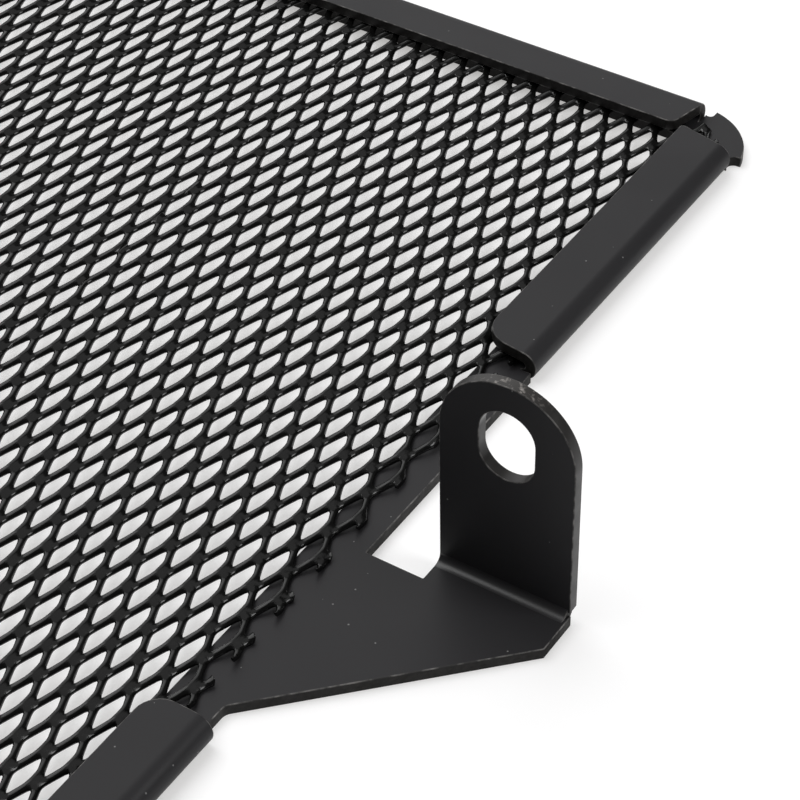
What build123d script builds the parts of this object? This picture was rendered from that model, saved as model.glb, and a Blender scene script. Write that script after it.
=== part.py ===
from build123d import *
import math
import os

# Motorcycle radiator guard: one folded sheet frame that holds an expanded-metal mesh under its hems.
# It lies on its front face. X runs across the guard, Y runs up it, and Z points back to the radiator,
# the way the lugs stand. All sizes are in millimetres and angles in degrees.

# Sheet, and overall size over the folded edges
WIDTH = 330.0
HEIGHT = 220.4
SHEET = 1.8

# Front strip round the window
STRIP_WIDTH = 8.9
WINDOW_RADIUS = 5.0
PLAIN_EDGE_INSET = 1.4

# Hems, folded back over the mesh: widths over the fold, and where they stop short of the corners.
# Each lean is how much sooner a flange ends at its inner edge than at its fold.
UPPER_HEM_WIDTH = 9.7
LOWER_HEM_WIDTH = 9.4
END_HEM_WIDTH = 8.8
UPPER_HEM_SHIFT = -0.7
LOWER_HEM_SHIFT = 0.55
SIDE_HEM_STOP = 9.85
END_HEM_STOP = 10.25
UPPER_TAB_LEAN = 0.95
LOWER_TAB_LEAN = 0.0
SIDE_CORNER_LEAN = -0.5
END_CORNER_LEAN = 1.5
HEM_TAB_RADIUS = 3.7
HEM_CORNER_RADIUS = 1.7
CORNER_ROUND_LIMIT = 0.9

# Flat corners, which stand proud of the hems, with a relief notch beside each hem end
CORNER_PROUD_SIDE = 0.4
CORNER_PROUD_END = 1.8
CORNER_RADIUS = 12.0
RELIEF_DEPTH = 2.0
SIDE_RELIEF_WIDTH = 2.4
SIDE_RELIEF_LEAD = 0.85
END_RELIEF_WIDTH = 1.4
END_RELIEF_LEAD = 0.5

# Side tab with its gusset, which ends a gap short of the hem, and the lug bent up from the tab
TAB_REACH = 27.7
TAB_END_LENGTH = 6.5
GUSSET_RUN = 29.9
GUSSET_FOOT_RADIUS = 3.0
GUSSET_FOOT_GAP = 4.7
LUG_FRONT_Y = 1.1
LUG_WIDTH = 20.05
LUG_STEP = 4.1
LUG_STEP_RADIUS = 0.5
BEND_RADIUS = 1.3
BEND_NICK = 0.4
SLOT_WIDTH = 8.2
SLOT_LENGTH = 11.2
SLOT_HEIGHT = 25.3

# Expanded mesh: real way sizes and strand, and how coarsely the lattice is drawn
MESH_THICKNESS = 1.3
MESH_CLEARANCE = 0.05
MESH_SIDE_INSET = 4.4
MESH_END_INSET = 4.1
MESH_SHORT_WAY = 4.62
MESH_LONG_WAY = 9.1
MESH_STRAND = 1.35
MESH_SKEW = -1.94
MESH_DRAWN_RATIO = 3.0

# Worked out from the sizes above
HEM_GAP = MESH_THICKNESS + MESH_CLEARANCE
FOLD_RADIUS = SHEET + HEM_GAP / 2
SIDE_EDGE = WIDTH / 2
END_EDGE = HEIGHT / 2
GUSSET_FOOT_Y = LUG_FRONT_Y - TAB_END_LENGTH - GUSSET_RUN
HEM_FREE_LENGTH = 2 * (GUSSET_FOOT_GAP - GUSSET_FOOT_Y)


def on_both_sides(shape):
    """A shape on the right, and its mirror image on the left."""
    return shape + mirror(shape, about=Plane.YZ)


def relief(width):
    """Relief notch cut inwards along -X from the edge at X = 0, with a round end."""
    end = Pos(width / 2 - RELIEF_DEPTH, 0)
    return end * Circle(width / 2) + end * Rectangle(RELIEF_DEPTH, width, align=(Align.MIN, Align.CENTER))


def corner_plate():
    """Flat rounded corner at the upper right, cut in by the relief notches beside the two hem ends."""
    outline = RectangleRounded(
        WIDTH + 2 * CORNER_PROUD_SIDE, HEIGHT + 2 * CORNER_PROUD_END, CORNER_RADIUS
    )
    reach_x = END_HEM_STOP + CORNER_PROUD_SIDE
    reach_y = SIDE_HEM_STOP + CORNER_PROUD_END
    outer_x = SIDE_EDGE + CORNER_PROUD_SIDE
    outer_y = END_EDGE + CORNER_PROUD_END
    cell = Pos(outer_x, outer_y) * Rectangle(reach_x, reach_y, align=(Align.MAX, Align.MAX))
    side_relief_y = END_EDGE - SIDE_HEM_STOP + SIDE_RELIEF_LEAD
    end_relief_x = SIDE_EDGE - END_HEM_STOP + END_RELIEF_LEAD
    plate = outline & cell
    plate -= Pos(outer_x, side_relief_y) * relief(SIDE_RELIEF_WIDTH)
    plate -= Pos(end_relief_x, outer_y) * Rot(0, 0, 90) * relief(END_RELIEF_WIDTH)
    return plate


def side_tab():
    """Right-hand tab, flat as far as the bend line: gusset below, and a step beside the lug."""
    root_x = SIDE_EDGE - STRIP_WIDTH / 2
    plain_x = SIDE_EDGE - PLAIN_EDGE_INSET
    end_x = SIDE_EDGE + TAB_REACH
    lug_x = end_x - LUG_WIDTH
    bend_y = LUG_FRONT_Y - BEND_RADIUS
    step_y = LUG_FRONT_Y - LUG_STEP
    end_y = LUG_FRONT_Y - TAB_END_LENGTH
    low_y = GUSSET_FOOT_Y - GUSSET_FOOT_RADIUS
    step_radius = min(LUG_STEP_RADIUS, CORNER_ROUND_LIMIT * (bend_y - step_y))
    foot = (plain_x, GUSSET_FOOT_Y)
    step = (lug_x, step_y)
    tab = Polygon(
        (root_x, low_y),
        (plain_x, low_y),
        foot,
        (end_x, end_y),
        (end_x, bend_y),
        (lug_x, bend_y),
        step,
        (root_x, step_y),
        align=None,
    )
    for corner, radius in ((foot, GUSSET_FOOT_RADIUS), (step, step_radius)):
        tab = fillet(tab.vertices().sort_by_distance(corner)[0], radius)
    return tab


def front_blank():
    """Flat front sheet: the strip up to the fold lines, plain side edges, corners, tabs and window."""
    fold_height = HEIGHT - 2 * FOLD_RADIUS
    upper_width = WIDTH + 2 * (UPPER_HEM_SHIFT - FOLD_RADIUS)
    lower_width = WIDTH + 2 * (LOWER_HEM_SHIFT - FOLD_RADIUS)
    blank = Rectangle(upper_width, fold_height / 2, align=(Align.CENTER, Align.MIN))
    blank += Rectangle(lower_width, fold_height / 2, align=(Align.CENTER, Align.MAX))
    blank += Rectangle(WIDTH - 2 * PLAIN_EDGE_INSET, HEM_FREE_LENGTH)
    upper_corners = on_both_sides(corner_plate())
    blank += upper_corners + mirror(upper_corners, about=Plane.XZ)
    blank += on_both_sides(side_tab())
    blank -= RectangleRounded(WIDTH - 2 * STRIP_WIDTH, HEIGHT - 2 * STRIP_WIDTH, WINDOW_RADIUS)
    return extrude(blank, SHEET)


def hem(length, width, leans, radii):
    """Hem along X with its fold outermost at Y = 0: a half-round fold and a flange back over the mesh.

    The flange's inner corners have a lean and a radius each, the one towards -X first."""
    flange_depth = width - FOLD_RADIUS
    round_limit = CORNER_ROUND_LIMIT * min(flange_depth, length / 2)
    ring = Circle(FOLD_RADIUS) - Circle(FOLD_RADIUS - SHEET)
    outer_half = Pos(FOLD_RADIUS, 0) * Rectangle(2 * FOLD_RADIUS, 2 * FOLD_RADIUS)
    section = Plane.YZ * Pos(-FOLD_RADIUS, FOLD_RADIUS) * (ring & outer_half)
    fold = extrude(section, length / 2, both=True)
    inner = ((leans[0] - length / 2, -width), (length / 2 - leans[1], -width))
    flange = Polygon((-length / 2, -FOLD_RADIUS), *inner, (length / 2, -FOLD_RADIUS), align=None)
    for corner, radius in zip(inner, radii):
        flange = fillet(flange.vertices().sort_by_distance(corner)[0], min(radius, round_limit))
    return fold + Pos(0, 0, 2 * FOLD_RADIUS - SHEET) * extrude(flange, SHEET)


def side_hem(side, shift, width, tab_lean):
    """Right-hand hem above the tab (side 1) or below it (side -1)."""
    length = END_EDGE - SIDE_HEM_STOP - HEM_FREE_LENGTH / 2
    middle_y = side * (HEM_FREE_LENGTH + length) / 2
    leans = (SIDE_CORNER_LEAN, tab_lean)[::side]
    radii = (HEM_CORNER_RADIUS, HEM_TAB_RADIUS)[::side]
    return Pos(SIDE_EDGE + shift, middle_y) * Rot(0, 0, -90) * hem(length, width, leans, radii)


def hems():
    """One hem along the top and the bottom, and two on each side with the tab between them."""
    leans = (END_CORNER_LEAN, END_CORNER_LEAN)
    radii = (HEM_CORNER_RADIUS, HEM_CORNER_RADIUS)
    top = Pos(0, END_EDGE) * hem(WIDTH - 2 * END_HEM_STOP, END_HEM_WIDTH, leans, radii)
    right = side_hem(1, UPPER_HEM_SHIFT, UPPER_HEM_WIDTH, UPPER_TAB_LEAN)
    right += side_hem(-1, LOWER_HEM_SHIFT, LOWER_HEM_WIDTH, LOWER_TAB_LEAN)
    return top + mirror(top, about=Plane.XZ) + on_both_sides(right)


def lug():
    """Right-hand lug: the bend along X with a nick at its outer end, and an upright plate with a slot."""
    end_x = SIDE_EDGE + TAB_REACH
    lug_x = end_x - LUG_WIDTH / 2
    bend_y = LUG_FRONT_Y - BEND_RADIUS
    bend_z = SHEET + BEND_RADIUS
    slot_z = SHEET + SLOT_HEIGHT
    outer_radius = BEND_RADIUS + SHEET
    ring = Circle(outer_radius) - Circle(BEND_RADIUS)
    quarter = Rectangle(outer_radius, outer_radius, align=(Align.MIN, Align.MAX))
    section = Plane.YZ * Pos(bend_y, bend_z) * (ring & quarter)
    bend = Pos(end_x - LUG_WIDTH, 0, 0) * extrude(section, LUG_WIDTH - BEND_NICK)
    face = Pos(0, bend_z) * Rectangle(LUG_WIDTH, slot_z - bend_z, align=(Align.CENTER, Align.MIN))
    face += Pos(0, slot_z) * Circle(LUG_WIDTH / 2)
    face -= Pos(0, slot_z) * Rot(0, 0, 90) * SlotOverall(SLOT_LENGTH, SLOT_WIDTH)
    back = Plane.XZ.offset(-LUG_FRONT_Y - SHEET)
    return bend + extrude(back * Pos(lug_x, 0) * face, SHEET)


def guard_frame():
    """The whole folded sheet as one solid."""
    return front_blank() + hems() + on_both_sides(lug())


def mesh_openings(width, height):
    """Diamond openings of the drawn lattice, as wires: those inside the panel, and those its edge cuts."""
    short_way = MESH_DRAWN_RATIO * MESH_SHORT_WAY
    long_way = MESH_DRAWN_RATIO * MESH_LONG_WAY
    strand_length = math.hypot(short_way, long_way)
    strand = MESH_DRAWN_RATIO * MESH_STRAND
    half_x = short_way / 2 - strand / 2 * strand_length / long_way
    half_y = long_way / 2 - strand / 2 * strand_length / short_way
    diamond = Wire.make_polygon([(half_x, 0), (0, half_y), (-half_x, 0), (0, -half_y)])
    reach = math.hypot(width, height) / 2 + long_way
    columns = math.ceil(reach / short_way)
    rows = math.ceil(2 * reach / long_way)
    inside = []
    cut = []
    for row in range(-rows, rows + 1):
        for column in range(-columns, columns + 1):
            x = short_way * (column + row % 2 / 2)
            y = long_way / 2 * row
            opening = Rot(0, 0, MESH_SKEW) * Pos(x, y) * diamond
            box = opening.bounding_box()
            gap_x = width / 2 - max(abs(box.min.X), abs(box.max.X))
            gap_y = height / 2 - max(abs(box.min.Y), abs(box.max.Y))
            if min(gap_x, gap_y) > 0:
                inside.append(opening)
            elif gap_x > -2 * half_x and gap_y > -2 * half_y:
                cut.append(opening)
    return inside, cut


def mesh_panel():
    """Expanded metal as one flat panel; a scrap of strand that no knuckle holds at a corner falls away."""
    width = WIDTH - 2 * MESH_SIDE_INSET
    height = HEIGHT - 2 * MESH_END_INSET
    inside, cut = mesh_openings(width, height)
    sheet = Rectangle(width, height) - [Face(opening) for opening in cut]
    outline = sheet.faces().sort_by(SortBy.AREA)[-1].outer_wire()
    return Pos(0, 0, SHEET) * extrude(Face(outline, inside), MESH_THICKNESS, dir=(0, 0, 1))


os.makedirs("parts", exist_ok=True)
export_step(guard_frame(), "parts/guard_frame.step")
export_step(mesh_panel(), "parts/mesh_panel.step")
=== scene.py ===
import math

import bmesh
import bpy
from mathutils import Matrix, Vector


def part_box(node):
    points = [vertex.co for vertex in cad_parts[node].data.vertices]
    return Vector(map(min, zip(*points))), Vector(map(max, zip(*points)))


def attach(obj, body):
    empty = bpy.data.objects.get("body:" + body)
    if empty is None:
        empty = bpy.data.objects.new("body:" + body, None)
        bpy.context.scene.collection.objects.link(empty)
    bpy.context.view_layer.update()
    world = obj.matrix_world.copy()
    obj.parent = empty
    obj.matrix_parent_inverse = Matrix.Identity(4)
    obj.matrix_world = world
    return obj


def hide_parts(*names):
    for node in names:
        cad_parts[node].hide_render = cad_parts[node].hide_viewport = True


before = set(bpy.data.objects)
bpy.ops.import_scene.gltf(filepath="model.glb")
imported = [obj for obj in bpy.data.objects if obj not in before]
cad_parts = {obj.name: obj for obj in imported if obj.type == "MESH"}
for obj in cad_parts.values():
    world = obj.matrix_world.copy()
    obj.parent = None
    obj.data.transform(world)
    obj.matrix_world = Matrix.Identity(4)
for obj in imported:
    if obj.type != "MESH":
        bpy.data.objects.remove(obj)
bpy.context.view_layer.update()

# Lengths are millimetres in the part's frame; Blender works in metres
MM = 0.001

# Sheet, its hem folds, its rounded edges, and how much its large faces steer the shading
SHEET = 1.8
FOLD_RADIUS = 2.475
EDGE_ROUND = 0.14
EDGE_SEGMENTS = 2
EDGE_ANGLE = math.radians(50)
FLAT_WEIGHT = 80

# Flat front sheet: window, plain side edge, rounded corner, and the notches beside the hem ends
WINDOW_X = 156.1
WINDOW_Y = 103.2
WINDOW_RADIUS = 5.0
PLAIN_X = 163.6
CORNER_X = 165.4
CORNER_Y = 112.0
CORNER_RADIUS = 12.0
END_NOTCH_RADIUS = 0.7
END_NOTCH_LEAD = 0.5
END_NOTCH_FLOOR = 110.0
SIDE_NOTCH_RADIUS = 1.2
SIDE_NOTCH_LEAD = 0.85
SIDE_NOTCH_FLOOR = 163.4

# End hems, at the top and the bottom; a lean is how much sooner a flange ends at its inner edge
END_HEM_EDGE = 110.2
END_HEM_WIDTH = 8.8
END_HEM_HALF = 154.75
END_HEM_LEAN = 1.5
END_HEM_ROUND = 1.7

# Side hems above and below the tab
UPPER_HEM_EDGE = 164.3
UPPER_HEM_WIDTH = 9.7
UPPER_TAB_LEAN = 0.95
UPPER_TAB_ROUND = 4.6
LOWER_HEM_EDGE = 165.55
LOWER_HEM_WIDTH = 9.4
LOWER_TAB_LEAN = 0.0
LOWER_TAB_ROUND = 3.7
HEM_TAB_Y = 40.0
HEM_CORNER_Y = 100.35
HEM_CORNER_LEAN = -1.6
HEM_CORNER_ROUND = 0.6
HEM_END_GAP = 0.12

# Tab with its gusset, and the lug bent up from it, nicked at the bend's outer end
TAB_END_X = 192.7
TAB_END_Y = -5.4
GUSSET_FOOT_Y = -35.3
GUSSET_FOOT_RADIUS = 1.8
STEP_Y = -3.0
STEP_RADIUS = 0.15
LUG_FRONT_Y = 1.1
LUG_WIDTH = 20.05
BEND_RADIUS = 1.3
BEND_NICK = 0.4
NICK_TAB_Y = 1.5
NICK_LUG_Z = 2.5
SLOT_Z = 27.07
SLOT_WIDTH = 8.2
SLOT_LENGTH = 11.2

# Steps in which round stretches are drawn
ROUND_STEPS = 8
WINDOW_STEPS = 8
CORNER_STEPS = 20
END_NOTCH_STEPS = 8
SIDE_NOTCH_STEPS = 10
FOLD_STEPS = 16
BEND_STEPS = 8
LUG_TOP_STEPS = 24
SLOT_STEPS = 14

# How finely points are told apart, and how near points are joined along the mirror line
POINT_DECIMALS = 4
SEAM_JOIN = 0.001

# Raised expanded metal: lattice, where one opening lies, and how its bonds tilt
SHORT_WAY = 4.62
LONG_WAY = 9.062
ROW_SKEW = math.radians(-1.82)
COLUMN_SKEW = math.radians(-2.31)
MESH_ORIGIN = (139.728, -38.527, 2.47)
SLAT_TILT = math.radians(-35.65)
MESH_STRIPS = 5

# A bond is two strands side by side: their widths, and half the bond's length at ridge, slit and foot
STRAND_THICKNESS = 0.7
RIDGE_WIDTH = 1.19
FOOT_WIDTH = 0.9
BOND_RIDGE_HALF = 1.056
BOND_SLIT_HALF = 1.147
BOND_FOOT_HALF = 0.292

# Between two bonds a strand has two more sections: how far from its ends, as a share of its length, and
# how much of the width they keep
STRAND_THIRD = 0.346
STRAND_WAIST = 0.965

# Cut ends at the panel's sides: how far inside its box the cut runs, how far past the cut a bond's middle
# may lie and a falling strand goes, the least share of a strand that is drawn, and the blunt end's share
# of its length and flare
MESH_SIDE_INSET = 0.2
BOND_PAST_SIDE = 0.8
FALLING_STUB_EXTRA = 0.5
STUB_LEAST = 0.08
STUB_EDGE = 0.05
STUB_FLARE = 1.3

# The lattice is pulled a little out of true around one spot: how far there, where, and how widely
MESH_PULL = (2.58, -2.0)
MESH_PULL_SPOT = (114.2, -75.0)
MESH_PULL_SPREAD = 39.75

# Material places on the frame; an edge's place comes next after that of the face it borders
COAT, CUT_EDGE, WORN_AND_HIGHLIGHT_EDGE, LUG_COAT, LUG_EDGE, BEND_COAT, BEND_EDGE = range(7)

# Colours, and the heights between which nicks and a painted highlight come up on the lug's edge
COAT_COLOUR = (0.0205, 0.0199, 0.0213)
DUST_COLOUR = (0.16, 0.16, 0.16)
CUT_COLOUR = (0.012, 0.011, 0.0105)
CUT_DARK = (0.009, 0.0085, 0.008)
CUT_LIGHT = (0.02, 0.0185, 0.0175)
LUG_EDGE_COLOUR = (0.014, 0.0127, 0.0118)
NICK_AND_HIGHLIGHT_COLOUR = (0.26, 0.243, 0.228)
# Worn edges: coat rubbed thin, with a light colour that also paints a highlight along the edges
WORN_AND_HIGHLIGHT_COLOUR = (0.06, 0.058, 0.056)
WORN_AND_HIGHLIGHT_DARK = (0.03, 0.029, 0.0285)
WORN_AND_HIGHLIGHT_LIGHT = (0.17, 0.164, 0.158)
MESH_COLOUR = (0.003, 0.003, 0.0029)
NICKS_AND_HIGHLIGHT_FROM = 35.2
NICKS_AND_HIGHLIGHT_TO = 37.0

# Camera of the photograph
CAMERA_PLACE = (302.85, -202.19, 245.41)
CAMERA_AIM = (151.2, 24.35, 2.6)
CAMERA_ROLL = math.radians(-1.09)
CAMERA_LENS = 115.4
CAMERA_SENSOR = 36.0
CAMERA_NEAR = 10.0

# Studio: which way its pale side lies, the dot products with that at which a direction starts to be pale
# and is all pale, and how bright the pale side and the dark one are
STUDIO_BACK = (-0.62, 0.5, 0.6)
STUDIO_PALE_FROM = 0.78
STUDIO_PALE_FULL = 0.93
STUDIO_BACK_LIGHT = 1.6
STUDIO_FRONT_LIGHT = 0.08

# Soft lamps: direction from the guard, half angle in degrees, and brightness
UPPER_RIGHT_LAMP = ((0.78, 0.2, 0.59), 12, 7.5)
OVERHEAD_LAMP = ((-0.41, -0.1, 0.9), 22, 2.62)
FILL_LAMP = ((0.3, 0.3, 0.9), 20, 0.75)
LAMP_DISTANCE = 1500.0

# Floor, which is white where nothing shades it
FLOOR_SIZE = 12000.0
FLOOR_COLOUR = (0.597, 0.6, 0.61)
FLOOR_GLOW = (0.426, 0.42, 0.412)

# Worked out from the sizes above
LUG_X = TAB_END_X - LUG_WIDTH / 2
LUG_LEFT_X = TAB_END_X - LUG_WIDTH
BEND_END_X = TAB_END_X - BEND_NICK
BEND_Y = LUG_FRONT_Y - BEND_RADIUS
BEND_OUTER = BEND_RADIUS + SHEET
END_FOLD_Y = END_HEM_EDGE - FOLD_RADIUS
UPPER_FOLD_X = UPPER_HEM_EDGE - FOLD_RADIUS
LOWER_FOLD_X = LOWER_HEM_EDGE - FOLD_RADIUS


def arc(centre, radius, start, end, steps):
    """Points on an arc, from one angle to another in degrees."""
    points = []
    for step in range(steps + 1):
        angle = math.radians(start + (end - start) * step / steps)
        points.append((centre[0] + radius * math.cos(angle), centre[1] + radius * math.sin(angle)))
    return points


def rounded(before, corner, after, radius):
    """Points of the arc that rounds a corner between two straight runs."""
    before, corner, after = Vector(before), Vector(corner), Vector(after)
    back, ahead = (before - corner).normalized(), (after - corner).normalized()
    half = back.angle(ahead) / 2
    centre = corner + (back + ahead).normalized() * radius / math.sin(half)
    start = corner + back * radius / math.tan(half) - centre
    end = corner + ahead * radius / math.tan(half) - centre
    turn = start.angle_signed(end)
    turns = [Matrix.Rotation(-turn * step / ROUND_STEPS, 2) for step in range(ROUND_STEPS + 1)]
    return [tuple(centre + rotation @ start) for rotation in turns]


def flipped(points):
    """An outline of the upper half, run the other way on the lower half."""
    return [(x, -y) for x, y in reversed(points)]


class Skin:
    """The sheet's outer skin, as faces that share their corner points."""

    def __init__(self):
        self.mesh = bmesh.new()
        self.corners = {}

    def corner(self, point):
        key = tuple(round(value, POINT_DECIMALS) for value in point)
        if key not in self.corners:
            self.corners[key] = self.mesh.verts.new(Vector(key) * MM)
        return self.corners[key]

    def face(self, points):
        corners = []
        for point in points:
            found = self.corner(point)
            if found not in corners[-1:]:
                corners.append(found)
        return self.mesh.faces.new(corners)

    def flat_face(self, points, z):
        self.face([(x, y, z) for x, y in points])


def corner_outline(fold_x):
    """Upper right corner of the flat sheet, from the end hem's fold line round to the side hem's."""
    centre = (CORNER_X - CORNER_RADIUS, CORNER_Y - CORNER_RADIUS)
    end_notch = (END_HEM_HALF + END_NOTCH_LEAD, END_NOTCH_FLOOR + END_NOTCH_RADIUS)
    side_notch = (SIDE_NOTCH_FLOOR + SIDE_NOTCH_RADIUS, HEM_CORNER_Y + SIDE_NOTCH_LEAD)
    end_start = 360 - math.degrees(math.acos(-END_NOTCH_LEAD / END_NOTCH_RADIUS))
    side_end = 180 + math.degrees(math.asin(SIDE_NOTCH_LEAD / SIDE_NOTCH_RADIUS))
    start = math.degrees(math.acos((end_notch[0] + END_NOTCH_RADIUS - centre[0]) / CORNER_RADIUS))
    end = math.degrees(math.asin((side_notch[1] + SIDE_NOTCH_RADIUS - centre[1]) / CORNER_RADIUS))
    points = [(END_HEM_HALF - HEM_END_GAP, END_FOLD_Y), (END_HEM_HALF, END_FOLD_Y)]
    points += arc(end_notch, END_NOTCH_RADIUS, end_start, 360, END_NOTCH_STEPS)
    points += arc(centre, CORNER_RADIUS, start, end, CORNER_STEPS)
    points += arc(side_notch, SIDE_NOTCH_RADIUS, 90, side_end, SIDE_NOTCH_STEPS)
    points += [(fold_x, HEM_CORNER_Y), (fold_x, HEM_CORNER_Y - HEM_END_GAP)]
    return points


def hem_root(fold_x):
    """Where the upper side hem's fold line ends beside the tab, and the plain edge takes over."""
    return [(fold_x, HEM_TAB_Y + HEM_END_GAP), (fold_x, HEM_TAB_Y), (PLAIN_X, HEM_TAB_Y)]


def tab_outline():
    """The plain edge, the step beside the lug, the bend line, the tab's end and its gusset."""
    inner, step, foot = (PLAIN_X, STEP_Y), (LUG_LEFT_X, STEP_Y), (PLAIN_X, GUSSET_FOOT_Y)
    points = [inner] + rounded(inner, step, (LUG_LEFT_X, BEND_Y), STEP_RADIUS)
    points += [(x, BEND_Y) for x in (LUG_LEFT_X, LUG_X, BEND_END_X)]
    points += [(BEND_END_X, NICK_TAB_Y), (TAB_END_X, NICK_TAB_Y), (TAB_END_X, TAB_END_Y)]
    points += rounded((TAB_END_X, TAB_END_Y), foot, (PLAIN_X, -HEM_TAB_Y), GUSSET_FOOT_RADIUS)
    return points


def front_outline():
    """Right half of the flat sheet, with the window cut out of it."""
    round_centre = (WINDOW_X - WINDOW_RADIUS, WINDOW_RADIUS - WINDOW_Y)
    window = [(0, -WINDOW_Y)] + arc(round_centre, WINDOW_RADIUS, -90, 0, WINDOW_STEPS)
    outer = [(0, END_FOLD_Y)] + corner_outline(UPPER_FOLD_X) + hem_root(UPPER_FOLD_X) + tab_outline()
    outer += flipped(hem_root(LOWER_FOLD_X)) + flipped(corner_outline(LOWER_FOLD_X)) + [(0, -END_FOLD_Y)]
    return outer + window + flipped(window)


def add_hem(skin, fold, inner, outward, rounds):
    """A half-round fold along a fold line, and a flange back over the mesh with rounded inner corners."""
    outward = Vector(outward)

    def section(point, step):
        angle = math.pi * step / FOLD_STEPS
        place = Vector(point) + outward * FOLD_RADIUS * math.sin(angle)
        return place.x, place.y, FOLD_RADIUS * (1 - math.cos(angle))

    start, end = fold
    for step in range(FOLD_STEPS):
        corners = [(start, step), (end, step), (end, step + 1), (start, step + 1)]
        skin.face([section(*corner) for corner in corners])
    flange = [start, end] + rounded(end, inner[1], inner[0], rounds[1])
    flange += rounded(inner[1], inner[0], start, rounds[0]) if rounds[0] else [inner[0]]
    skin.flat_face(flange, 2 * FOLD_RADIUS)


def add_end_hem(skin, side):
    """Right half of the hem at the top (side 1) or at the bottom (side -1)."""
    end_x = END_HEM_HALF - HEM_END_GAP
    inner_y = side * (END_HEM_EDGE - END_HEM_WIDTH)
    fold = ((0, side * END_FOLD_Y), (end_x, side * END_FOLD_Y))
    inner = ((0, inner_y), (end_x - END_HEM_LEAN, inner_y))
    add_hem(skin, fold, inner, (0, side), (0, END_HEM_ROUND))


def add_side_hem(skin, side, edge_x, width, tab_lean, tab_round):
    """Right-hand hem above the tab (side 1) or below it (side -1)."""
    fold_x, inner_x = edge_x - FOLD_RADIUS, edge_x - width
    tab_y, corner_y = HEM_TAB_Y + HEM_END_GAP, HEM_CORNER_Y - HEM_END_GAP
    fold = ((fold_x, side * tab_y), (fold_x, side * corner_y))
    inner = ((inner_x, side * (tab_y + tab_lean)), (inner_x, side * (corner_y - HEM_CORNER_LEAN)))
    add_hem(skin, fold, inner, (1, 0), (tab_round, HEM_CORNER_ROUND))


def lug_half(side):
    """Outline of the lug's right (side 1) or left (side -1) half, from the bend round to its slot."""
    half_width, slot_run = LUG_WIDTH / 2, (SLOT_LENGTH - SLOT_WIDTH) / 2
    foot = [(0, BEND_OUTER)]
    if side > 0:
        nick = BEND_END_X - LUG_X
        foot += [(nick, BEND_OUTER), (nick, NICK_LUG_Z), (half_width, NICK_LUG_Z)]
    else:
        foot += [(half_width, BEND_OUTER)]
    top = arc((0, SLOT_Z), half_width, 0, 90, LUG_TOP_STEPS)
    hole = arc((0, SLOT_Z + slot_run), SLOT_WIDTH / 2, 90, 0, SLOT_STEPS)
    hole += arc((0, SLOT_Z - slot_run), SLOT_WIDTH / 2, 0, -90, SLOT_STEPS)
    return [(LUG_X + side * x, z) for x, z in foot + top + hole]


def add_lug(skin):
    """The bend along X, and the upright lug as two halves beside its slot."""

    def section(x, step):
        angle = math.pi / 2 * step / BEND_STEPS
        return x, BEND_Y + BEND_OUTER * math.sin(angle), BEND_OUTER * (1 - math.cos(angle))

    for x in (LUG_LEFT_X, BEND_END_X):
        for step in range(BEND_STEPS):
            corners = [(LUG_X, step), (x, step), (x, step + 1), (LUG_X, step + 1)]
            skin.face([section(*corner) for corner in corners]).material_index = BEND_COAT
    for side in (1, -1):
        half = skin.face([(x, BEND_Y + BEND_OUTER, z) for x, z in lug_half(side)])
        half.material_index = LUG_COAT


def frame_skin():
    """Right half of the frame's outer skin, mirrored to the left and joined."""
    skin = Skin()
    skin.flat_face(front_outline(), 0)
    for side in (1, -1):
        add_end_hem(skin, side)
    add_side_hem(skin, 1, UPPER_HEM_EDGE, UPPER_HEM_WIDTH, UPPER_TAB_LEAN, UPPER_TAB_ROUND)
    add_side_hem(skin, -1, LOWER_HEM_EDGE, LOWER_HEM_WIDTH, LOWER_TAB_LEAN, LOWER_TAB_ROUND)
    add_lug(skin)
    mesh = skin.mesh
    copy = bmesh.ops.duplicate(mesh, geom=mesh.verts[:] + mesh.edges[:] + mesh.faces[:])["geom"]
    copied = [item for item in copy if isinstance(item, bmesh.types.BMVert)]
    bmesh.ops.scale(mesh, vec=(-1, 1, 1), verts=copied)
    bmesh.ops.remove_doubles(mesh, verts=mesh.verts[:], dist=SEAM_JOIN * MM)
    bmesh.ops.recalc_face_normals(mesh, faces=mesh.faces[:])
    front = max(mesh.faces, key=lambda face: face.calc_area())
    if front.normal.z > 0:
        bmesh.ops.reverse_faces(mesh, faces=mesh.faces[:])
    return mesh


def finished(name, source, materials, modifiers):
    """A smooth piece whose mesh has its modifiers applied."""
    for face in source.faces:
        face.smooth = True
    mesh = bpy.data.meshes.new(name)
    source.to_mesh(mesh)
    source.free()
    for material in materials:
        mesh.materials.append(material)
    piece = bpy.data.objects.new(name, mesh)
    bpy.context.scene.collection.objects.link(piece)
    for kind, settings in modifiers:
        modifier = piece.modifiers.new(kind.lower(), kind)
        for key, value in settings.items():
            setattr(modifier, key, value)
    bpy.context.view_layer.update()
    evaluated = piece.evaluated_get(bpy.context.evaluated_depsgraph_get())
    piece.data = bpy.data.meshes.new_from_object(evaluated)
    piece.modifiers.clear()
    bpy.data.meshes.remove(mesh)
    piece.data.name = name
    return piece


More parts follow.
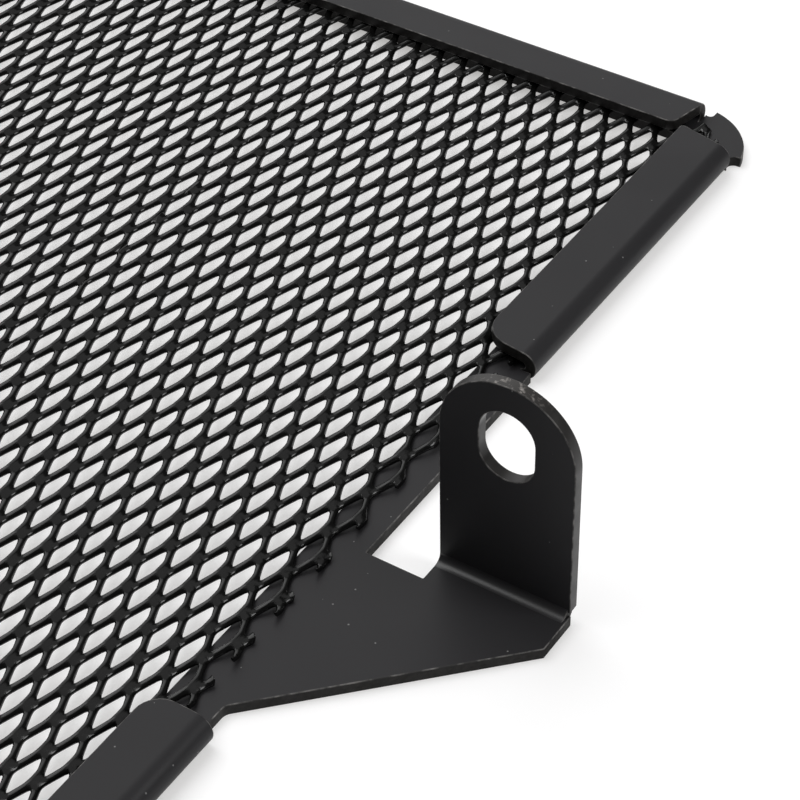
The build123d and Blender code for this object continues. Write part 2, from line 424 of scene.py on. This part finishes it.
def make_frame():
    """The folded sheet, from its outer skin: thickened inwards, with rounded edges, worn and with a painted
    highlight.
    """
    solidify = {
        "thickness": SHEET * MM, "offset": -1.0, "use_even_offset": True, "use_quality_normals": True,
        "material_offset_rim": CUT_EDGE - COAT,
    }
    bevel = {
        "width": EDGE_ROUND * MM, "segments": EDGE_SEGMENTS, "limit_method": "ANGLE",
        "angle_limit": EDGE_ANGLE, "use_clamp_overlap": False, "miter_outer": "MITER_ARC",
        "material": WORN_AND_HIGHLIGHT_EDGE,
    }
    smooth = {"mode": "FACE_AREA", "keep_sharp": False, "weight": FLAT_WEIGHT}
    stack = [("SOLIDIFY", solidify), ("BEVEL", bevel), ("WEIGHTED_NORMAL", smooth)]
    coat = powder_coat()
    edge = cut_edge()
    materials = {
        COAT: coat, CUT_EDGE: edge, WORN_AND_HIGHLIGHT_EDGE: worn_and_highlight_edge(), LUG_COAT: coat, LUG_EDGE: lug_edge(),
        BEND_COAT: bend_coat(), BEND_EDGE: edge,
    }
    piece = finished("folded_frame", frame_skin(), materials.values(), stack)
    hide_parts("guard_frame")
    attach(piece, "root")


def ring(left):
    """Four corners on one side of a bond's slit: the place across the bond, and -1 or 1 another way."""
    return ((left, -1), (left + 1, -1), (left + 1, 1), (left, 1))


class Lattice:
    """Cage of the raised lattice over a box: bonds tilted like slats, and strands between their ends.

    A bond is named by its column p and row q in half pitches. Across it lie its ridge (-1), slit (0) and
    foot (1), along it its lower (-1) and upper (1) end, and up its underside (-1) and top (1). A strand
    leaves on the ridge's side (left is -1) or on the foot's (left is 0).
    """

    across_places = {-1: -RIDGE_WIDTH, 0: 0, 1: FOOT_WIDTH}
    half_lengths = {-1: BOND_RIDGE_HALF, 0: BOND_SLIT_HALF, 1: BOND_FOOT_HALF}

    def __init__(self, low, high, sides):
        self.low = low
        self.high = high
        self.sides = sides
        self.row = Matrix.Rotation(ROW_SKEW, 2)
        self.column = Matrix.Rotation(COLUMN_SKEW, 2)
        self.across_step = Vector((math.cos(SLAT_TILT), math.sin(SLAT_TILT)))
        self.up_step = Vector((-math.sin(SLAT_TILT), math.cos(SLAT_TILT))) * STRAND_THICKNESS / 2
        self.cage = bmesh.new()
        self.bonds = {}
        self.add_bonds()
        for key in self.bonds:
            self.add_bond_faces(key)
            self.add_strands(key)
        bmesh.ops.recalc_face_normals(self.cage, faces=self.cage.faces[:])

    def place(self, x, y, z):
        spot = Vector(MESH_ORIGIN[:2]) + self.row @ Vector((x, 0)) + self.column @ Vector((0, y))
        away = (spot - Vector(MESH_PULL_SPOT)).length / MESH_PULL_SPREAD
        spot += Vector(MESH_PULL) * math.exp(-away * away / 2)
        return Vector((spot.x, spot.y, MESH_ORIGIN[2] + z))

    def bond_place(self, p, q):
        return self.place(p * SHORT_WAY / 2, q * LONG_WAY / 2, 0)

    def near(self, p, q):
        """Whether a bond lies in the box or about a pitch outside it."""
        spot = self.bond_place(p, q)
        beside = self.low.x - SHORT_WAY < spot.x < self.high.x + SHORT_WAY
        return beside and self.low.y - LONG_WAY < spot.y < self.high.y + LONG_WAY

    def corner(self, p, q, across, along, up):
        offset = self.across_step * self.across_places[across] + self.up_step * up
        x = p * SHORT_WAY / 2 + offset.x
        y = q * LONG_WAY / 2 + self.half_lengths[across] * along
        return self.place(x, y, offset.y) * MM

    def end_places(self, key, left, along):
        return [self.corner(*key, across, along, up) for across, up in ring(left)]

    def end_corners(self, key, left, along):
        return [self.bonds[key][across, along, up] for across, up in ring(left)]

    def between(self, starts, stops, share, widen=STRAND_WAIST):
        """Corners of a strand's section at a share of its length."""
        places = [start.lerp(stop, share) for start, stop in zip(starts, stops)]
        centre = sum(places, Vector()) / len(places)
        return [self.cage.verts.new(centre + (spot - centre) * widen) for spot in places]

    def skin(self, rows):
        """Faces round a strand, from each of its four-cornered sections to the next."""
        for start, stop in zip(rows, rows[1:]):
            for k in range(4):
                self.cage.faces.new([start[k], start[(k + 1) % 4], stop[(k + 1) % 4], stop[k]])

    def strand(self, key, left, along, other):
        starts = self.end_places(key, left, along)
        stops = self.end_places(other, -1 - left, -along)
        rows = [self.end_corners(key, left, along)]
        rows += [self.between(starts, stops, share) for share in (STRAND_THIRD, 1 - STRAND_THIRD)]
        self.skin(rows + [self.end_corners(other, -1 - left, -along)])

    def stub(self, key, left, along, other, side):
        """A strand cut blunt at the panel's side, or just past the side if it falls to the right."""
        starts = self.end_places(key, left, along)
        stops = self.end_places(other, -1 - left, -along)
        first, last = [sum(places, Vector()).x / len(places) for places in (starts, stops)]
        falling = along == -1 - 2 * left
        reach = side + (FALLING_STUB_EXTRA if falling else 0) * (1 + 2 * left)
        length = (reach * MM - first) / (last - first)
        rows = [self.end_corners(key, left, along)]
        if length > STUB_LEAST:
            thirds = [share for share in (STRAND_THIRD, 1 - STRAND_THIRD) if share < length - 2 * STUB_EDGE]
            rows += [self.between(starts, stops, share) for share in thirds]
            blunt = (length - STUB_EDGE, length)
            rows += [self.between(starts, stops, share, STUB_FLARE) for share in blunt]
        self.skin(rows)
        self.cage.faces.new(rows[-1])

    def add_bonds(self):
        """The corner points of every bond near the box and between the panel's sides."""
        low, high = self.low, self.high
        reach = max(high.x - low.x, high.y - low.y) + max(abs(value) for value in MESH_ORIGIN)
        columns, rows = math.ceil(2 * reach / SHORT_WAY), math.ceil(2 * reach / LONG_WAY)
        first, last = self.sides[0] - BOND_PAST_SIDE, self.sides[1] + BOND_PAST_SIDE
        for p in range(-columns, columns + 1):
            for q in range(-rows, rows + 1):
                if (p + q) % 2 and self.near(p, q) and first < self.bond_place(p, q).x < last:
                    self.bonds[p, q] = {
                        (across, along, up): self.cage.verts.new(self.corner(p, q, across, along, up))
                        for across in (-1, 0, 1) for along in (-1, 1) for up in (-1, 1)
                    }

    def add_bond_faces(self, key):
        """A bond's underside and top, in two halves, and its ridge and foot."""
        bond = self.bonds[key]
        for left in (-1, 0):
            for up in (-1, 1):
                self.cage.faces.new([bond[across, along, up] for across, along in ring(left)])
        around = ((-1, -1), (1, -1), (1, 1), (-1, 1))
        for across in (-1, 1):
            self.cage.faces.new([bond[across, along, up] for along, up in around])

    def add_strands(self, key):
        """The strands that leave a bond towards its right, and the cut ones on either side."""
        p, q = key
        for along in (-1, 1):
            right, left = (p + 1, q + along), (p - 1, q + along)
            if right in self.bonds:
                self.strand(key, 0, along, right)
            elif self.near(*right):
                self.stub(key, 0, along, right, self.sides[1])
            if left not in self.bonds and self.near(*left):
                self.stub(key, -1, along, left, self.sides[0])


def trim(mesh, low, high):
    """Cuts a mesh back to a box seen from above, and closes the cut strands with flat ends."""
    for axis, place, outward in ((0, low.x, -1), (0, high.x, 1), (1, low.y, -1), (1, high.y, 1)):
        point, normal = Vector(), Vector()
        point[axis] = place * MM
        normal[axis] = outward
        everything = mesh.verts[:] + mesh.edges[:] + mesh.faces[:]
        plane = {"plane_co": point, "plane_no": normal}
        cut = bmesh.ops.bisect_plane(mesh, geom=everything, clear_outer=True, **plane)
        edges = [item for item in cut["geom_cut"] if isinstance(item, bmesh.types.BMEdge)]
        for face in bmesh.ops.edgeloop_fill(mesh, edges=edges)["faces"]:
            face.smooth = False


def make_mesh_strip(number, low, high, sides, coat):
    """One strip of the mesh panel, as long as the panel is high."""
    name = "mesh_strip_%d" % number
    smooth = {"levels": 1, "render_levels": 1, "use_limit_surface": False}
    piece = finished(name, Lattice(low, high, sides).cage, [coat], [("SUBSURF", smooth)])
    mesh = bmesh.new()
    mesh.from_mesh(piece.data)
    trim(mesh, low, high)
    mesh.to_mesh(piece.data)
    mesh.free()
    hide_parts("mesh_panel")
    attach(piece, "root")


def make_mesh():
    """The expanded metal in strips side by side, in the box of its solid."""
    low, high = [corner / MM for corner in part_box("mesh_panel")]
    sides = low.x + MESH_SIDE_INSET, high.x - MESH_SIDE_INSET
    coat = mesh_coat()
    width = (high.x - low.x) / MESH_STRIPS
    for number in range(MESH_STRIPS):
        strip_low = Vector((low.x + number * width, low.y, low.z))
        strip_high = Vector((low.x + (number + 1) * width, high.y, high.z))
        make_mesh_strip(number + 1, strip_low, strip_high, sides, coat)


class Paint:
    """A Principled material in the making, with object coordinates for its textures."""

    def __init__(self, name, colour, roughness, specular):
        self.material = bpy.data.materials.new(name)
        self.material.use_nodes = True
        self.tree = self.material.node_tree
        self.shader = self.tree.nodes["Principled BSDF"]
        self.shader.inputs["Base Color"].default_value = (*colour, 1)
        self.shader.inputs["Roughness"].default_value = roughness
        self.shader.inputs["Specular IOR Level"].default_value = specular
        self.place = self.tree.nodes.new("ShaderNodeTexCoord").outputs["Object"]

    def add(self, kind, links, **settings):
        """A new node, whose sockets get a value or a link."""
        node = self.tree.nodes.new(kind)
        for key, value in settings.items():
            setattr(node, key, value)
        for socket, source in links.items():
            if isinstance(source, bpy.types.NodeSocket):
                self.tree.links.new(source, node.inputs[socket])
            else:
                node.inputs[socket].default_value = source
        return node

    def combine(self, operation, first, second):
        return self.add("ShaderNodeMath", {0: first, 1: second}, operation=operation).outputs[0]

    def noise(self, scale, detail=2.0):
        """Noise with a number of features to the metre."""
        links = {"Vector": self.place, "Scale": scale, "Detail": detail}
        return self.add("ShaderNodeTexNoise", links).outputs["Fac"]

    def spread(self, source, low, high, start=0.3, stop=0.7):
        """A texture's middle range stretched between two values."""
        links = {"Value": source, "From Min": start, "From Max": stop, "To Min": low, "To Max": high}
        return self.add("ShaderNodeMapRange", links).outputs["Result"]

    def blend(self, source, low, high):
        """A colour between two colours, driven by a value from 0 to 1."""
        ramp = self.add("ShaderNodeValToRGB", {"Fac": source})
        ramp.color_ramp.elements[0].color = (*low, 1)
        ramp.color_ramp.elements[1].color = (*high, 1)
        return ramp.outputs["Color"]

    def specks(self, spacing, radius, share):
        """1 inside small round specks, of which a share of the cells of a given spacing holds one."""
        cells = self.add("ShaderNodeTexVoronoi", {"Vector": self.place, "Scale": 1 / (spacing * MM)})
        near = self.combine("LESS_THAN", cells.outputs["Distance"], radius / spacing)
        chosen = self.add("ShaderNodeSeparateColor", {"Color": cells.outputs["Color"]}).outputs["Red"]
        held = self.combine("LESS_THAN", chosen, share)
        return self.combine("MULTIPLY", near, held)

    def set(self, socket, source):
        self.tree.links.new(source, self.shader.inputs[socket])

    def bump(self, source, depth, strength):
        links = {"Height": source, "Distance": depth * MM, "Strength": strength}
        self.set("Normal", self.add("ShaderNodeBump", links).outputs["Normal"])


def powder_coat():
    """Satin black powder coat: a fine orange peel, slightly uneven gloss and a few specks of dust."""
    paint = Paint("powder_coat", COAT_COLOUR, roughness=0.42, specular=0.15)
    dust = paint.specks(spacing=2.5, radius=0.13, share=0.8)
    paint.set("Base Color", paint.blend(dust, COAT_COLOUR, DUST_COLOUR))
    paint.set("Roughness", paint.spread(paint.noise(scale=60.0), low=0.38, high=0.46))
    paint.bump(paint.noise(scale=2200.0), depth=0.01, strength=0.25)
    return paint.material


def bend_coat():
    """The coat inside the lug's bend, glossier than on the flats."""
    paint = Paint("bend_coat", COAT_COLOUR, roughness=0.42, specular=0.56)
    paint.set("Roughness", paint.spread(paint.noise(scale=60.0), low=0.4, high=0.46))
    paint.bump(paint.noise(scale=2200.0), depth=0.01, strength=0.25)
    return paint.material


def cut_edge():
    """Coated laser-cut edge of the flat sheet, dark and slightly rough."""
    paint = Paint("cut_edge", CUT_COLOUR, roughness=0.5, specular=0.15)
    grain = paint.noise(scale=1500.0, detail=4.0)
    paint.set("Base Color", paint.blend(paint.spread(grain, low=0.0, high=1.0), CUT_DARK, CUT_LIGHT))
    paint.set("Roughness", paint.spread(paint.noise(scale=400.0), low=0.4, high=0.6))
    paint.bump(grain, depth=0.05, strength=0.5)
    return paint.material


def lug_edge():
    """Smoother, glossier edge of the lug and its slot, with bright nicks and a painted highlight near the
    top.
    """
    paint = Paint("lug_edge", LUG_EDGE_COLOUR, roughness=0.36, specular=0.27)
    grain = paint.noise(scale=1500.0, detail=4.0)
    height = paint.add("ShaderNodeSeparateXYZ", {"Vector": paint.place}).outputs["Z"]
    # Lighter towards the lug's top: bare nicks, and a painted highlight there
    high = paint.spread(height, low=0.0, high=1.0, start=NICKS_AND_HIGHLIGHT_FROM * MM, stop=NICKS_AND_HIGHLIGHT_TO * MM)
    nicks = paint.spread(grain, low=0.06, high=1.0, start=0.54, stop=0.72)
    nicks_and_highlight = paint.combine("MULTIPLY", high, nicks)
    paint.set("Base Color", paint.blend(nicks_and_highlight, LUG_EDGE_COLOUR, NICK_AND_HIGHLIGHT_COLOUR))
    paint.set("Roughness", paint.spread(paint.noise(scale=400.0), low=0.3, high=0.42))
    paint.bump(grain, depth=0.05, strength=0.3)
    return paint.material


def worn_and_highlight_edge():
    """Rounded edge of the sheet, where the coat is rubbed thin in places and a highlight is painted along
    it.
    """
    paint = Paint("worn_and_highlight_edge", WORN_AND_HIGHLIGHT_COLOUR, roughness=0.5, specular=0.2)
    rub_and_highlight = paint.spread(paint.noise(scale=700.0, detail=4.0), low=0.0, high=1.0, start=0.42, stop=0.66)
    paint.set("Base Color", paint.blend(rub_and_highlight, WORN_AND_HIGHLIGHT_DARK, WORN_AND_HIGHLIGHT_LIGHT))
    paint.set("Roughness", paint.spread(paint.noise(scale=400.0), low=0.42, high=0.58))
    return paint.material


def mesh_coat():
    """Semi-gloss black on the expanded metal."""
    paint = Paint("mesh_coat", MESH_COLOUR, roughness=0.17, specular=0.3)
    paint.set("Roughness", paint.spread(paint.noise(scale=300.0), low=0.13, high=0.21))
    paint.bump(paint.noise(scale=2500.0), depth=0.012, strength=0.55)
    return paint.material


def floor_material():
    """A diffuse floor that takes shadows, with a glow for the camera and for gloss to bring it to white."""
    material = bpy.data.materials.new("floor")
    material.use_nodes = True
    tree = material.node_tree
    tree.nodes.remove(tree.nodes["Principled BSDF"])
    diffuse = tree.nodes.new("ShaderNodeBsdfDiffuse")
    diffuse.inputs["Color"].default_value = (*FLOOR_COLOUR, 1)
    glow = tree.nodes.new("ShaderNodeEmission")
    glow.inputs["Color"].default_value = (*FLOOR_GLOW, 1)
    paths = tree.nodes.new("ShaderNodeLightPath")
    strength = paths.outputs["Is Camera Ray"]
    for ray in ("Is Glossy Ray", "Is Transmission Ray"):
        either = tree.nodes.new("ShaderNodeMath")
        either.operation = "MAXIMUM"
        tree.links.new(strength, either.inputs[0])
        tree.links.new(paths.outputs[ray], either.inputs[1])
        strength = either.outputs[0]
    tree.links.new(strength, glow.inputs["Strength"])
    both = tree.nodes.new("ShaderNodeAddShader")
    tree.links.new(diffuse.outputs[0], both.inputs[0])
    tree.links.new(glow.outputs[0], both.inputs[1])
    tree.links.new(both.outputs[0], tree.nodes["Material Output"].inputs["Surface"])
    return material


def make_floor():
    bpy.ops.mesh.primitive_plane_add(size=FLOOR_SIZE * MM)
    floor = bpy.context.object
    floor.name = "floor"
    floor.data.materials.append(floor_material())


def make_world():
    """A studio that is dark in front and pale behind."""
    world = bpy.data.worlds.new("studio")
    bpy.context.scene.world = world
    world.use_nodes = True
    tree = world.node_tree
    background = tree.nodes["Background"]
    background.inputs["Color"].default_value = (1, 1, 1, 1)
    look = tree.nodes.new("ShaderNodeTexCoord")
    behind = tree.nodes.new("ShaderNodeVectorMath")
    behind.operation = "DOT_PRODUCT"
    behind.inputs[1].default_value = STUDIO_BACK
    tree.links.new(look.outputs["Generated"], behind.inputs[0])
    strength = tree.nodes.new("ShaderNodeMapRange")
    strength.inputs["From Min"].default_value = STUDIO_PALE_FROM
    strength.inputs["From Max"].default_value = STUDIO_PALE_FULL
    strength.inputs["To Min"].default_value = STUDIO_FRONT_LIGHT
    strength.inputs["To Max"].default_value = STUDIO_BACK_LIGHT
    tree.links.new(behind.outputs["Value"], strength.inputs["Value"])
    tree.links.new(strength.outputs["Result"], background.inputs["Strength"])


def softbox(name, direction, half_angle, radiance):
    """A square lamp seen from the guard under a half angle in degrees, with a given brightness."""
    distance = LAMP_DISTANCE * MM
    away = Vector(direction).normalized()
    light = bpy.data.lights.new(name, "AREA")
    light.shape = "SQUARE"
    light.size = 2 * distance * math.tan(math.radians(half_angle))
    light.energy = radiance * math.pi * light.size ** 2
    lamp = bpy.data.objects.new(name, light)
    lamp.location = Vector(CAMERA_AIM) * MM + away * distance
    lamp.rotation_euler = (-away).to_track_quat("-Z", "Y").to_euler()
    bpy.context.scene.collection.objects.link(lamp)


def make_light():
    """The studio, and three soft lamps above the guard."""
    make_world()
    softbox("upper_right", *UPPER_RIGHT_LAMP)
    softbox("overhead", *OVERHEAD_LAMP)
    softbox("fill", *FILL_LAMP)


def make_camera():
    """The camera where the photograph was taken from, rolled as it was held."""
    data = bpy.data.cameras.new("camera")
    data.lens = CAMERA_LENS
    data.sensor_width = CAMERA_SENSOR
    data.sensor_fit = "HORIZONTAL"
    data.clip_start = CAMERA_NEAR * MM
    camera = bpy.data.objects.new("camera", data)
    place, aim = Vector(CAMERA_PLACE) * MM, Vector(CAMERA_AIM) * MM
    level = (aim - place).to_track_quat("-Z", "Y").to_matrix().to_4x4()
    camera.matrix_world = Matrix.Translation(place) @ level @ Matrix.Rotation(CAMERA_ROLL, 4, "Z")
    bpy.context.scene.collection.objects.link(camera)
    bpy.context.scene.camera = camera


make_frame()
make_mesh()
make_floor()
make_light()
make_camera()
bpy.context.scene.view_settings.view_transform = "Standard"
